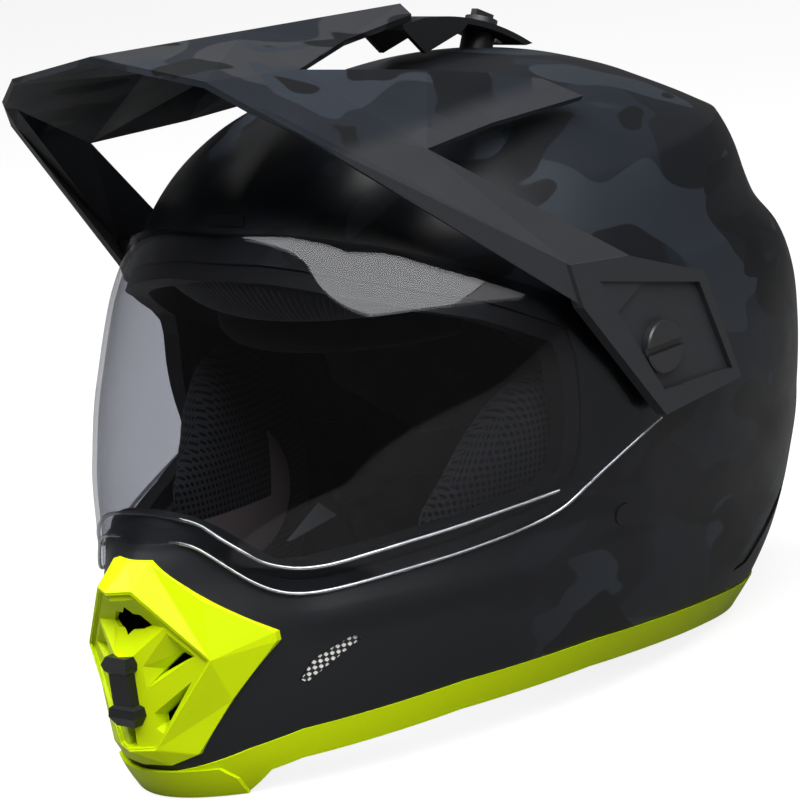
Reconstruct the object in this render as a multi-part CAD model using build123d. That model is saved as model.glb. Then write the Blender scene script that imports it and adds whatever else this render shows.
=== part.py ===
from build123d import *
import os
from functools import lru_cache
from math import cos, pi, radians, sin

# Dual sport helmet, in millimetres. X points to the wearer's left, -Y to the front, +Z up.
# The origin is on the centre plane, at mid-length, level with the edge that the helmet rests on.

# Overall form of the shell
shell_half_length = 181.0
shell_half_width = 122.0
shell_height = 259.0
shell_wall = 4.0
ring_points = 30

# Levels of the shell from its base to its crown, as shares of its height, half width and half length:
# height, half width, front, rear and widest place, then the roundness exponents of front and rear.
level_shares = (
    (0.000, 0.690, 0.922, 0.807, 0.080, 1.90, 2.50),
    (0.046, 0.745, 0.957, 0.856, 0.080, 1.85, 2.60),
    (0.135, 0.828, 0.989, 0.923, 0.083, 1.72, 2.70),
    (0.232, 0.885, 1.000, 0.972, 0.088, 1.60, 2.75),
    (0.340, 0.943, 0.950, 1.000, 0.094, 1.50, 2.75),
    (0.456, 0.984, 0.823, 1.000, 0.100, 1.90, 2.70),
    (0.564, 1.000, 0.724, 0.989, 0.105, 2.08, 2.60),
    (0.676, 0.984, 0.641, 0.950, 0.110, 2.10, 2.50),
    (0.772, 0.926, 0.558, 0.895, 0.122, 2.05, 2.45),
    (0.849, 0.836, 0.470, 0.812, 0.133, 2.05, 2.35),
    (0.919, 0.672, 0.331, 0.674, 0.155, 2.10, 2.20),
    (0.961, 0.490, 0.177, 0.536, 0.177, 2.00, 2.00),
    (0.988, 0.270, 0.011, 0.387, 0.188, 2.00, 2.00),
    (1.000, 0.100, -0.120, 0.255, 0.188, 2.00, 2.00),
)

# Space for the head, behind the brow
head_half_width = 77.0
head_half_length = 99.0
head_middle_y = 33.0
head_top = 213.0
head_straight_top = 120.0
head_roundness = 2.3
head_level_shares = (0.0, 0.32, 0.59, 0.79, 0.915, 0.98)

# Clearances and small sizes that several pieces share
overrun = 20.0
seat_gap = 0.3
skin_gap = 0.1
moving_gap = 1.6

# Lower edge of the helmet, seen from the side: shares of half length and height
base_arch_shares = (
    (-1.300, 0.000), (-0.840, 0.000), (-0.812, 0.035), (-0.757, 0.046), (-0.414, 0.060),
    (-0.055, 0.056), (0.398, 0.027), (0.710, 0.000), (1.300, 0.000),
)
trim_top_shares = (
    (-1.300, 0.048), (-0.950, 0.048), (-0.850, 0.077), (-0.757, 0.094), (-0.414, 0.108),
    (-0.055, 0.104), (0.398, 0.075), (0.710, 0.048), (1.300, 0.048),
)
trim_proud = 0.8
lip_proud = 2.4
lip_shares = (
    (0.240, 0.050), (0.270, 0.030), (0.270, -0.010), (-0.270, -0.010), (-0.270, 0.030), (-0.240, 0.050),
)

# Eye opening, seen from the side, and its rubber seal
eyeport_shares = (
    (-1.300, 0.419), (-0.854, 0.419), (-0.809, 0.372), (-0.765, 0.337), (-0.718, 0.323),
    (-0.665, 0.320), (-0.554, 0.326), (-0.364, 0.338), (-0.198, 0.359), (-0.141, 0.387),
    (-0.128, 0.431), (-0.122, 0.579), (-0.135, 0.628), (-0.291, 0.693), (-0.389, 0.722),
    (-0.477, 0.753), (-0.538, 0.779), (-0.615, 0.787), (-1.300, 0.787),
)
eyeport_corner = 3.0
gasket_width = 7.0
gasket_depth = 9.5
gasket_recess = 1.5

# Line of the side screws, about which the face shield and the peak turn
pivot_y_share = 0.0746
pivot_z_share = 0.565
hub_radius = 8.5
hub_clearance = 0.1
baseplate_radius = 13.0
baseplate_wall = 0.7
baseplate_gap = 0.25

# Face shield, seen from the side
shield_wall = 2.2
shield_gap = 0.5
shield_shares = (
    (-1.300, 0.822), (-0.501, 0.822), (-0.393, 0.786), (-0.263, 0.728), (-0.150, 0.682),
    (-0.084, 0.659), (0.022, 0.649), (0.122, 0.641), (0.188, 0.598), (0.199, 0.541),
    (0.155, 0.479), (0.100, 0.444), (-0.108, 0.375), (-0.181, 0.338), (-0.367, 0.318),
    (-0.557, 0.308), (-0.674, 0.302), (-0.725, 0.304), (-0.759, 0.311), (-0.793, 0.327),
    (-0.826, 0.356), (-0.854, 0.386), (-0.869, 0.401), (-1.300, 0.403),
)
shield_corner = 2.0

# Peak: shares of half width, half length and height for the points of its upper side
peak_wall = 2.6
peak_point_shares = {
    "tip": (0.000, -0.818, 1.142),
    "ridge_middle": (0.000, -0.353, 1.118),
    "ridge_rear": (0.000, 0.144, 1.093),
    "lip_corner": (0.456, -0.782, 1.101),
    "outer_corner": (0.586, -0.747, 1.059),
    "arm_front": (0.683, -0.677, 1.009),
    "crease_front": (0.598, -0.707, 1.049),
    "crease_rear": (1.078, -0.188, 0.737),
    "edge_rear": (1.078, -0.163, 0.668),
    "notch": (0.803, -0.388, 0.944),
    "upper_rear": (1.078, 0.006, 0.720),
    "seat_upper": (1.078, 0.066, 0.680),
    "seat_lower": (1.078, -0.055, 0.641),
    "tail_corner": (0.107, 0.102, 1.081),
    "tail_waist": (0.164, -0.160, 1.076),
    "gap_front": (0.369, -0.448, 1.071),
    "wing_inner_front": (0.500, -0.144, 1.028),
    "wing_inner_middle": (0.566, 0.011, 1.001),
    "wing_inner_rear": (0.639, 0.122, 0.976),
    "wing_edge": (0.725, -0.122, 0.943),
    "wing_tip": (0.730, 0.180, 0.941),
}
centre_faces = (
    ("tip", "lip_corner", "ridge_middle"),
    ("lip_corner", "gap_front", "ridge_middle"),
    ("gap_front", "tail_waist", "ridge_middle"),
    ("tail_waist", "ridge_rear", "ridge_middle"),
    ("tail_waist", "tail_corner", "ridge_rear"),
)
side_faces = (
    ("lip_corner", "outer_corner", "crease_front"),
    ("lip_corner", "crease_front", "gap_front"),
    ("gap_front", "crease_front", "notch"),
    ("gap_front", "notch", "wing_inner_front"),
    ("wing_inner_front", "notch", "wing_edge"),
    ("wing_inner_front", "wing_edge", "wing_inner_middle"),
    ("wing_inner_middle", "wing_edge", "wing_inner_rear"),
    ("wing_inner_rear", "wing_edge", "wing_tip"),
    ("crease_front", "crease_rear", "notch"),
    ("notch", "crease_rear", "upper_rear"),
    ("outer_corner", "arm_front", "crease_front"),
    ("arm_front", "edge_rear", "crease_rear"),
    ("arm_front", "crease_rear", "crease_front"),
    ("upper_rear", "crease_rear", "seat_upper"),
    ("crease_rear", "seat_lower", "seat_upper"),
    ("crease_rear", "edge_rear", "seat_lower"),
)

# Pod at the end of each peak arm, seen from the side, with its dished face
pod_floor = 3.0
pod_rim = 2.6
pod_shares = (
    (-0.006, 0.722), (0.240, 0.656), (0.324, 0.471), (0.054, 0.459), (-0.171, 0.668), (-0.196, 0.739),
)
pod_dish_shares = ((-0.110, 0.699), (0.218, 0.643), (0.296, 0.490), (0.058, 0.498))

# Side screws and the threaded inserts that they enter
screw_head_radius = 11.0
screw_head_height = 3.6
screw_slot_width = 3.2
screw_slot_depth = 1.8
screw_radius = 3.1
screw_reach = 7.0
thread_clearance = 0.1
insert_radius = 6.0
insert_length = 6.5

# Centre mount of the peak, a bracket that slides over a boss on the crown
mount_half_width = 13.5
mount_wall = 2.5
mount_radius = 128.8
mount_front_angle = 12.0
mount_rear_angle = 33.5
mount_tail_length = 4.5
mount_flange_drop = 12.0
boss_angle = 26.5
boss_radius = 7.0
boss_depth = 12.0
peak_travel_angle = 5.0
knob_radius = 7.0
knob_height = 3.6
knob_blade_width = 3.4
knob_blade_height = 3.0
knob_shaft_radius = 2.5
slot_clearance = 0.4

# Chin vent. Its flat front has two upright halves that meet at the centre plane and lean back from it.
vent_nose_share = 1.0077
vent_lean_share = 0.515

# Points of the bezel's left half: shares of half width, half length and height
bezel_point_shares = {
    "brow_middle": (0.000, -0.927, 0.377),
    "brow": (0.078, -0.918, 0.377),
    "brow_side": (0.249, -0.880, 0.316),
    "cheek_upper": (0.420, -0.787, 0.255),
    "cheek_lower": (0.423, -0.788, 0.241),
    "jaw_side": (0.312, -0.876, 0.160),
    "jaw": (0.201, -0.928, 0.078),
    "chin": (0.106, -0.954, 0.061),
    "chin_middle": (0.000, -0.970, 0.061),
}
# Corners of the flat front, shares of half width and height
web_corner_shares = {
    "web_top_middle": (0.000, 0.341), "web_top": (0.076, 0.341), "web_side": (0.285, 0.228),
    "web_bottom": (0.081, 0.091), "web_bottom_middle": (0.000, 0.091),
}
bezel_faces = (
    ("brow_middle", "web_top_middle", "web_top"), ("brow_middle", "web_top", "brow"),
    ("brow", "web_top", "web_side"), ("brow", "web_side", "brow_side"),
    ("brow_side", "web_side", "cheek_upper"), ("cheek_upper", "web_side", "cheek_lower"),
    ("cheek_lower", "web_side", "jaw_side"), ("jaw_side", "web_side", "web_bottom"),
    ("jaw_side", "web_bottom", "jaw"), ("jaw", "web_bottom", "chin"),
    ("chin", "web_bottom", "web_bottom_middle"), ("chin", "web_bottom_middle", "chin_middle"),
    ("web_top_middle", "web_bottom_middle", "web_bottom", "web_side", "web_top"),
)
bezel_rim = (
    "brow_middle", "brow", "brow_side", "cheek_upper", "cheek_lower", "jaw_side", "jaw", "chin", "chin_middle",
)
bezel_edge = 0.6
web_recess = 1.5
tub_depth = 7.0
window_depth = 5.0

# Pockets in the vent's front, each narrowing to a window, as front view shares
pocket_shares = (
    ((0.074, 0.328), (0.155, 0.282), (0.045, 0.239), (-0.045, 0.239), (-0.155, 0.282), (-0.074, 0.328)),
    ((0.157, 0.273), (0.234, 0.235), (0.071, 0.186), (0.071, 0.222)),
    ((0.213, 0.195), (0.103, 0.114), (0.084, 0.122), (0.084, 0.147)),
)
window_shares = (
    ((0.057, 0.299), (0.090, 0.282), (0.053, 0.275), (-0.053, 0.275), (-0.090, 0.282), (-0.057, 0.299)),
    ((0.172, 0.238), (0.197, 0.229), (0.098, 0.204), (0.110, 0.212)),
    ((0.179, 0.177), (0.116, 0.132), (0.086, 0.126), (0.086, 0.139)),
)

# Slider: levels along its height as shares of it, each with half width and reach out from the web
slider_low_share = 0.129
slider_height = 28.5
slider_travel = 6.5
slider_half_width = 7.5
slider_reach = 3.7
slider_level_shares = (
    (0.00, 0.72, 0.40), (0.14, 1.00, 0.92), (0.26, 0.95, 0.74), (0.30, 0.72, 0.46),
    (0.76, 0.72, 0.46), (0.80, 0.88, 0.72), (0.90, 0.93, 1.00), (1.00, 0.80, 0.42),
)
stem_half_width = 1.8
stem_height = 8.0
slot_low_share = 0.096
shutter_half_width = 9.0
shutter_height = 20.0
shutter_wall = 1.5
filter_recess = 15.0
filter_wall = 2.0

# Side and rear vents
mesh_recess = 1.2
mesh_wall = 1.0
side_vent_shares = (
    (0.446, 0.172), (0.474, 0.201), (0.549, 0.226), (0.566, 0.219), (0.466, 0.169), (0.456, 0.165),
)
side_vent_front_share = 0.90
side_vent_rear_share = 0.50
rear_cover_proud = 2.0
rear_cover_shares = (
    (-0.575, 0.432), (0.575, 0.432), (0.640, 0.386), (0.490, 0.240), (-0.490, 0.240), (-0.640, 0.386),
)
rear_port_shares = ((-0.400, 0.400), (0.400, 0.400), (0.330, 0.290), (-0.330, 0.290))
exhaust_shares = ((0.470, 0.104), (0.540, 0.104), (0.785, 0.193), (0.740, 0.205))
brow_vent_shares = ((-0.082, 0.830), (0.082, 0.830), (0.060, 0.846), (-0.060, 0.846))
vent_proud = 0.8
plug_radius = 4.5
plug_y_share = 0.0055
plug_z_share = 0.301

# Liners and pads, with their side outlines as shares of half length and height
comfort_thickness = 8.0
eps_shares = (
    (1.100, 0.228), (0.343, 0.240), (0.287, 0.340), (0.110, 0.386), (0.085, 0.525),
    (-0.055, 0.575), (-0.138, 0.656), (-0.309, 0.722), (-0.409, 0.752), (-0.541, 0.808),
    (-0.829, 0.830), (-1.100, 1.100), (1.100, 1.100),
)
eps_split_share = 0.200
comfort_shares = (
    (1.100, 0.290), (0.430, 0.300), (0.330, 0.360), (0.200, 0.430), (0.130, 0.640),
    (-0.150, 0.680), (-0.309, 0.740), (-0.409, 0.770), (-0.600, 0.820), (-1.100, 1.000),
    (1.100, 1.000),
)
cheek_base_wall = 10.0
cheek_inner_x = 61.0
cheek_crown_radius = 110.0
cheek_crown_y_share = -0.235
cheek_crown_z_share = 0.330
cheek_shares = (
    (-0.541, 0.131), (-0.331, 0.104), (0.044, 0.104), (0.077, 0.347), (0.060, 0.510),
    (-0.060, 0.560), (-0.166, 0.545), (-0.343, 0.417), (-0.541, 0.340),
)
chin_eps_thickness = 12.5
chin_eps_shares = (
    (-1.100, 0.085), (-0.575, 0.110), (-0.575, 0.322), (-0.800, 0.322), (-0.840, 0.366),
    (-0.862, 0.402), (-1.100, 0.402),
)
neck_roll_thickness = 18.0
neck_roll_shares = (
    (0.232, 0.062), (0.398, 0.044), (0.690, 0.022), (1.100, 0.018), (1.100, 0.214), (0.232, 0.214),
)

# Chin straps, their anchors, and the ring of the buckle
strap_width = 22.0
strap_wall = 1.6
strap_y = 26.0
strap_top_shares = (0.860, 0.285)
strap_left_shares = ((0.640, 0.085), (0.300, 0.066), (0.060, 0.062))
strap_right_shares = ((-0.640, 0.120), (-0.250, 0.110))
strap_corner = 12.0
anchor_radius = 7.0
anchor_wall = 2.0
strap_loop_radius = 3.3
ring_wire_radius = 1.5
ring_bore_clearance = 0.15
ring_width = 32.0
ring_drop = 18.0
ring_corner = 4.0


def side_points(shares):
    """Points of a side view outline, as (y, z)."""
    return [(y * shell_half_length, z * shell_height) for y, z in shares]


def front_points(shares):
    """Points of a front view outline, as (x, z)."""
    return [(x * shell_half_width, z * shell_height) for x, z in shares]


def outline_face(points, corner=0.0, grow=0.0):
    """Flat face inside an outline, with its corners rounded and its edge moved out by grow."""
    face = make_face(Polyline(*points, close=True))
    if corner:
        face = fillet(face.vertices(), radius=corner)
    if grow:
        face = offset(face, amount=grow, kind=Kind.INTERSECTION)
    return face


def side_prism(face, low_x, high_x):
    """Side view face drawn out across the helmet."""
    return extrude(Plane.YZ.offset(low_x) * face, amount=high_x - low_x)


def front_prism(face, front_y, rear_y):
    """Front view face drawn out along the helmet."""
    return extrude(Plane.XZ.offset(-rear_y) * face, amount=rear_y - front_y)


def across(face):
    """Side view face drawn out past both sides of the helmet."""
    reach = shell_half_width + overrun
    return side_prism(face, -reach, reach)


def smooth_ring(points):
    """Closed smooth outline through points, all rings of one loft sharing their knots."""
    count = len(points)
    knots = [i / count for i in range(count + 1)]
    return Wire([Edge.make_spline(points, periodic=True, parameters=knots)])


def half_ellipse_point(turn, half_width, front, rear, widest, front_power, rear_power):
    """Point of a level's outline at an angle of turn, where a quarter turn back is the nose."""
    c, s = cos(turn), sin(turn)
    power = front_power if s < 0 else rear_power
    reach = widest - front if s < 0 else rear - widest
    x = half_width * (1 if c >= 0 else -1) * abs(c) ** (2 / power)
    return x, widest + reach * (1 if s >= 0 else -1) * abs(s) ** (2 / power)


def shell_ring(shares, grow, z):
    """Closed outline of one level of the shell, grown outwards by grow."""
    _, width_share, front_share, rear_share, widest_share, front_power, rear_power = shares
    half_width, half_length = shell_half_width + grow, shell_half_length + grow
    points = []
    for i in range(ring_points):
        x, y = half_ellipse_point(
            pi / 2 + 2 * pi * i / ring_points, width_share * half_width, -front_share * half_length,
            rear_share * half_length, widest_share * half_length, front_power, rear_power,
        )
        points.append((x, y, z))
    return smooth_ring(points)


@lru_cache(maxsize=None)
def dome(grow):
    """Solid of the shell's outer form, grown outwards by grow and drawn down below the base."""
    height = shell_height + grow
    rings = [shell_ring(level_shares[0], grow, -overrun)]
    rings += [shell_ring(shares, grow, shares[0] * height) for shares in level_shares]
    return Solid.make_loft(rings)


@lru_cache(maxsize=None)
def skin(outer_grow, inner_grow):
    """Layer between two grown forms of the shell."""
    return dome(outer_grow) - dome(inner_grow)


def head_ring(size_share, grow, z):
    """Closed outline of one level of the space for the head."""
    points = []
    for i in range(ring_points):
        turn = pi / 2 + 2 * pi * i / ring_points
        x = (head_half_width + grow) * size_share * cos(turn)
        y = head_middle_y + (head_half_length + grow) * size_share * sin(turn)
        points.append((x, y, z))
    return smooth_ring(points)


@lru_cache(maxsize=None)
def head_space(grow):
    """Solid of the space for the head, grown outwards by grow and open downwards."""
    rings = [head_ring(1, grow, -overrun)]
    rise = head_top + grow - head_straight_top
    for share in head_level_shares:
        size_share = (1 - share**head_roundness) ** (1 / head_roundness)
        rings.append(head_ring(size_share, grow, head_straight_top + share * rise))
    return Solid.make_loft(rings)


def region_above(shares, lift=0.0):
    """Everything above a line of the side view, raised by lift."""
    line = [(y, z + lift) for y, z in side_points(shares)]
    top = shell_height + overrun
    return across(outline_face(line + [(line[-1][0], top), (line[0][0], top)]))


def eyeport_face(grow=0.0):
    return outline_face(side_points(eyeport_shares), eyeport_corner, grow)


def pivot():
    """Place of the side screws' line, as (y, z)."""
    return pivot_y_share * shell_half_length, pivot_z_share * shell_height


def rod_x(radius, low_x, high_x, y, z):
    """Round rod along X."""
    return extrude(Plane.YZ.offset(low_x) * Pos(y, z) * Circle(radius), amount=high_x - low_x)


def to_right(shape):
    """Mirror image of a left piece."""
    return mirror(shape, about=Plane.YZ)


def shield_inner_grow():
    return baseplate_gap + baseplate_wall + shield_gap


def shield_outer_grow():
    return shield_inner_grow() + shield_wall


def pod_back_x():
    return shell_half_width + shield_outer_grow() + moving_gap


def pod_floor_x():
    return pod_back_x() + pod_floor


def web_outline():
    """Front view outline of the chin vent's flat front, as shares."""
    left = [web_corner_shares[name] for name in ("web_top", "web_side", "web_bottom")]
    return left + [(-x, z) for x, z in reversed(left)]


def recess_prism(grow=0.0):
    """Front view outline of the chin vent's recess, drawn through the chin."""
    face = outline_face(front_points(web_outline()), grow=grow)
    return front_prism(face, -shell_half_length - overrun, -shell_half_length / 2)


def side_vent_prism(grow=0.0):
    face = outline_face(front_points(side_vent_shares), grow=grow)
    front, rear = -side_vent_front_share * shell_half_length, -side_vent_rear_share * shell_half_length
    return front_prism(face, front, rear)


def exhaust_prism(grow=0.0):
    face = outline_face(side_points(exhaust_shares), grow=grow)
    return side_prism(face, shell_half_width / 4, shell_half_width + overrun)


def rear_prism(shares, grow=0.0):
    """Front view outline drawn through the rear half of the helmet."""
    face = outline_face(front_points(shares), grow=grow)
    return front_prism(face, shell_half_length / 4, shell_half_length + overrun)


def brow_prism(grow=0.0):
    face = outline_face(front_points(brow_vent_shares), grow=grow)
    return front_prism(face, -shell_half_length, 0)


def plug_rod(radius):
    low_x = shell_half_width / 2
    high_x = shell_half_width + overrun
    return rod_x(radius, low_x, high_x, plug_y_share * shell_half_length, plug_z_share * shell_height)


def boss_plane():
    """Plane on the side screws' line whose Z axis runs out along the crown boss."""
    y, z = pivot()
    lean = radians(boss_angle)
    return Plane(origin=(0, y, z), x_dir=(1, 0, 0), z_dir=(0, sin(lean), cos(lean)))


def boss_rod(radius, low, high):
    """Round rod on the crown boss's axis, between two distances from the side screws' line."""
    return boss_plane() * Pos(0, 0, low) * Cylinder(
        radius, high - low, align=(Align.CENTER, Align.CENTER, Align.MIN)
    )


def outer_shell():
    """Rigid shell with its eye opening, vent openings and screw holes."""
    y, z = pivot()
    shell = skin(0, -shell_wall) & region_above(trim_top_shares, skin_gap)
    shell -= across(eyeport_face())
    shell -= recess_prism(seat_gap)
    shell -= rear_prism(rear_port_shares)
    shell -= brow_prism()
    for cutter in (side_vent_prism(), exhaust_prism(), plug_rod(plug_radius + skin_gap)):
        shell -= cutter
        shell -= to_right(cutter)
    bore = screw_radius + thread_clearance
    shell -= rod_x(bore, -shell_half_width - overrun, shell_half_width + overrun, y, z)
    return shell - boss_rod(boss_radius + skin_gap, boss_inner(), mount_radius + overrun)


def boss_inner():
    return mount_radius - boss_depth


def lower_trim():
    """Coloured band along the shell's lower edge, with a raised lip under the chin vent."""
    band = (skin(trim_proud, -shell_wall) & region_above(base_arch_shares)) - region_above(trim_top_shares)
    lip_face = outline_face(front_points(lip_shares))
    lip = skin(lip_proud, skin_gap) & front_prism(lip_face, -shell_half_length - overrun, -shell_half_length / 2)
    return band + (lip & region_above(base_arch_shares))


def eyeport_gasket():
    """Rubber seal round the eye opening, against which the shield closes."""
    layer = skin(-gasket_recess, -gasket_recess - gasket_depth)
    ring = eyeport_face(-seat_gap) - eyeport_face(-seat_gap - gasket_width)
    return layer & across(ring)


def face_shield():
    """Clear shield with an ear round each pivot hub."""
    y, z = pivot()
    layer = skin(shield_outer_grow(), shield_inner_grow())
    shield = layer & across(outline_face(side_points(shield_shares), shield_corner))
    reach = shell_half_width + overrun
    return shield - rod_x(hub_radius + hub_clearance, -reach, reach, y, z)


def shield_baseplate():
    """Plate on the shell's left side, with the hub that the shield turns on."""
    y, z = pivot()
    disc = rod_x(baseplate_radius, shell_half_width / 2, shell_half_width + overrun, y, z)
    plate = skin(baseplate_gap + baseplate_wall, baseplate_gap) & disc
    hub_end = pod_back_x() - seat_gap
    hub = rod_x(hub_radius, shell_half_width - seat_gap, hub_end, y, z) - dome(baseplate_gap)
    bore = screw_radius + thread_clearance
    return plate + hub - rod_x(bore, shell_half_width / 2, hub_end + overrun, y, z)


def peak_mesh_points():
    """Outer points of the peak's left half, with the matching inner points below them."""
    outer = {
        name: Vector(x * shell_half_width, y * shell_half_length, z * shell_height)
        for name, (x, y, z) in peak_point_shares.items()
    }
    normals = {name: Vector(0, 0, 0) for name in outer}
    for names in centre_faces + side_faces:
        a, b, c = (outer[name] for name in names)
        normal = (b - a).cross(c - a)
        for name in names:
            normals[name] += normal
    inner = {}
    for name, point in outer.items():
        normal = normals[name]
        if point.X == 0:
            normal = Vector(0, normal.Y, normal.Z)
        inner[name] = point - normal.normalized() * peak_wall
    return outer, inner


def triangle(a, b, c):
    return Face(Wire.make_polygon([a, b, c], close=True))


def peak_half():
    """Left half of the peak's folded sheet, as one closed solid."""
    outer, inner = peak_mesh_points()
    faces, edges = [], {}
    for names in centre_faces + side_faces:
        faces.append(triangle(*(outer[name] for name in names)))
        faces.append(triangle(*(inner[name] for name in reversed(names))))
        for start, end in zip(names, names[1:] + names[:1]):
            edges[(start, end)] = edges.get((start, end), 0) + 1
    for start, end in edges:
        if (end, start) not in edges:
            faces.append(triangle(outer[end], outer[start], inner[start]))
            faces.append(triangle(outer[end], inner[start], inner[end]))
    return Solid(Shell(faces))


def peak_pod():
    """Left pod of the peak, with its dished face and the hole for the side screw."""
    y, z = pivot()
    back, floor = pod_back_x(), pod_floor_x()
    pod = side_prism(outline_face(side_points(pod_shares)), back, floor + pod_rim)
    pod -= side_prism(outline_face(side_points(pod_dish_shares)), floor, floor + overrun)
    return pod - rod_x(screw_radius + thread_clearance, back - overrun, floor + overrun, y, z)


def peak():
    """Sun peak: folded sheet with a tongue, two wings, two arms and two pods."""
    half = peak_half() + peak_pod()
    return half + to_right(half)


def mount_point(angle, radius):
    """Point of the side view at an angle behind the vertical through the side screws."""
    y, z = pivot()
    return y + radius * sin(radians(angle)), z + radius * cos(radians(angle))


def centre_mount():
    """Bracket at the rear of the peak, with a slot that lets it slide over the crown boss."""
    outer_radius = mount_radius + mount_wall
    middle_angle = (mount_front_angle + mount_rear_angle) / 2
    tail_y, tail_z = peak_point_shares["ridge_rear"][1] * shell_half_length, peak_inner_z()
    low_front = mount_point(mount_front_angle, mount_radius)
    high_front = mount_point(mount_front_angle, outer_radius)
    low_rear = mount_point(mount_rear_angle, mount_radius)
    high_rear = mount_point(mount_rear_angle, outer_radius)
    tail = (low_rear[0] + mount_tail_length, low_rear[1])
    edges = [
        ThreePointArc(low_front, mount_point(middle_angle, mount_radius), low_rear),
        Line(low_rear, tail),
        Line(tail, high_rear),
        ThreePointArc(high_rear, mount_point(middle_angle, outer_radius), high_front),
        Line(high_front, (tail_y, tail_z)),
        Line((tail_y, tail_z), (tail_y - mount_half_width, tail_z - seat_gap)),
        Line((tail_y - mount_half_width, tail_z - seat_gap), (tail_y - mount_half_width, tail_z - mount_wall)),
        Line((tail_y - mount_half_width, tail_z - mount_wall), low_front),
    ]
    plate = side_prism(make_face(edges), -mount_half_width, mount_half_width)
    flange_points = [
        (tail_y - mount_half_width, tail_z - mount_wall),
        (tail_y - mount_wall, tail_z - mount_wall - mount_flange_drop),
        (low_front[0] + mount_half_width / 2, low_front[1] - mount_wall * 2),
        mount_point((mount_front_angle + middle_angle) / 2, mount_radius + mount_wall / 2),
        mount_point(mount_front_angle, mount_radius + mount_wall / 2),
    ]
    flange = side_prism(outline_face(flange_points), mount_half_width - mount_wall, mount_half_width)
    plate += flange + to_right(flange)
    return plate - mount_slot()


def peak_inner_z():
    """Height just under the tongue's rear end."""
    return peak_point_shares["tail_corner"][2] * shell_height - peak_wall - seat_gap


def mount_slot():
    """Slot round the knob's shaft, as long as the peak's travel."""
    radius = knob_shaft_radius + slot_clearance
    y, z = pivot()
    slot = boss_rod(radius, boss_inner(), mount_radius + overrun)
    end = slot.rotate(Axis((0, y, z), (-1, 0, 0)), peak_travel_angle)
    low = boss_plane() * Pos(0, 0, boss_inner())
    travel = radians(peak_travel_angle) * mount_radius
    block = low * Pos(0, travel / 2, 0) * Box(
        2 * radius, travel, boss_depth + overrun, align=(Align.CENTER, Align.CENTER, Align.MIN)
    )
    return slot + end + block


def crown_boss():
    """Round boss through the shell's crown, bored for the centre knob's shaft."""
    boss = boss_rod(boss_radius, boss_inner(), mount_radius - seat_gap)
    return boss - boss_rod(knob_shaft_radius + thread_clearance, boss_inner() - overrun, mount_radius + overrun)


def centre_knob():
    """Thumb screw that clamps the centre mount onto the crown boss."""
    seat = mount_radius + mount_wall + seat_gap
    knob = boss_rod(knob_radius, seat, seat + knob_height)
    blade = boss_plane() * Pos(0, 0, seat + knob_height) * Box(
        knob_blade_width, 2 * knob_radius - knob_blade_width, knob_blade_height,
        align=(Align.CENTER, Align.CENTER, Align.MIN),
    )
    return knob + blade + boss_rod(knob_shaft_radius, mount_radius - boss_depth / 2, seat)


def side_screw():
    """Left side screw: slotted round head on a threaded shaft."""
    y, z = pivot()
    seat = pod_floor_x() + seat_gap
    face = seat + screw_head_height
    head = chamfer(rod_x(screw_head_radius, seat, face, y, z).faces().sort_by(Axis.X)[-1].edges(), pod_rim / 4)
    slot = Plane.YZ.offset(face - screw_slot_depth) * Pos(y, z) * Box(
        2 * screw_head_radius, screw_slot_width, screw_slot_depth,
        align=(Align.CENTER, Align.CENTER, Align.MIN),
    )
    return head - slot + rod_x(screw_radius, insert_inner_x() + screw_reach / 4, seat, y, z)


def insert_inner_x():
    return shell_half_width - shell_wall - 2 * seat_gap - insert_length


def screw_insert():
    """Threaded insert behind the shell's left wall."""
    y, z = pivot()
    low = insert_inner_x()
    nut = rod_x(insert_radius, low, low + insert_length, y, z)
    return nut - rod_x(screw_radius + thread_clearance, low - overrun, low + overrun, y, z)


def vent_front(x):
    """Where the flat front of the chin vent lies at a distance from the centre plane, as a y."""
    return -vent_nose_share * shell_half_length + vent_lean_share * abs(x)


def ring_solid(rings):
    """Closed solid through rings of equally many points, each turning left as seen from the last ring's side."""
    faces = [
        Face(Wire.make_polygon(rings[0][::-1], close=True)), Face(Wire.make_polygon(rings[-1], close=True)),
    ]
    for low, high in zip(rings, rings[1:]):
        for a, b, c, d in zip(low, low[1:] + low[:1], high[1:] + high[:1], high):
            faces.append(triangle(a, b, c))
            faces.append(triangle(a, c, d))
    return Solid(Shell(faces))


def web_block(front, rear, half_width, low, high):
    """Layer parallel to the chin vent's flat front, between two distances behind it."""
    rings = []
    for z in (low, high):
        places = [(x, vent_front(x) + front, z) for x in (-half_width, 0, half_width)]
        places += [(x, vent_front(x) + rear, z) for x in (half_width, 0, -half_width)]
        rings.append([Vector(*place) for place in places])
    return ring_solid(rings)


def bezel_points():
    """Corners of the bezel's left half."""
    points = {
        name: Vector(x * shell_half_width, y * shell_half_length, z * shell_height)
        for name, (x, y, z) in bezel_point_shares.items()
    }
    for name, (x_share, z_share) in web_corner_shares.items():
        x, z = x_share * shell_half_width, z_share * shell_height
        points[name] = Vector(x, vent_front(x), z)
    return points


def bezel_block():
    """Faceted front of the chin vent, drawn back into the chin."""
    points = bezel_points()
    behind = {name: Vector(points[name].X, -shell_half_length / 2, points[name].Z) for name in bezel_rim}
    faces = [Face(Wire.make_polygon([points[name] for name in names], close=True)) for names in bezel_faces]
    for a, b in zip(bezel_rim, bezel_rim[1:]):
        faces.append(Face(Wire.make_polygon([points[a], points[b], behind[b], behind[a]], close=True)))
    faces.append(Face(Wire.make_polygon([behind[name] for name in bezel_rim], close=True)))
    centre = [behind["brow_middle"], behind["chin_middle"]]
    centre += [points[name] for name in ("chin_middle", "web_bottom_middle", "web_top_middle", "brow_middle")]
    faces.append(Face(Wire.make_polygon(centre, close=True)))
    half = Solid(Shell(faces))
    return half + to_right(half)


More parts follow.
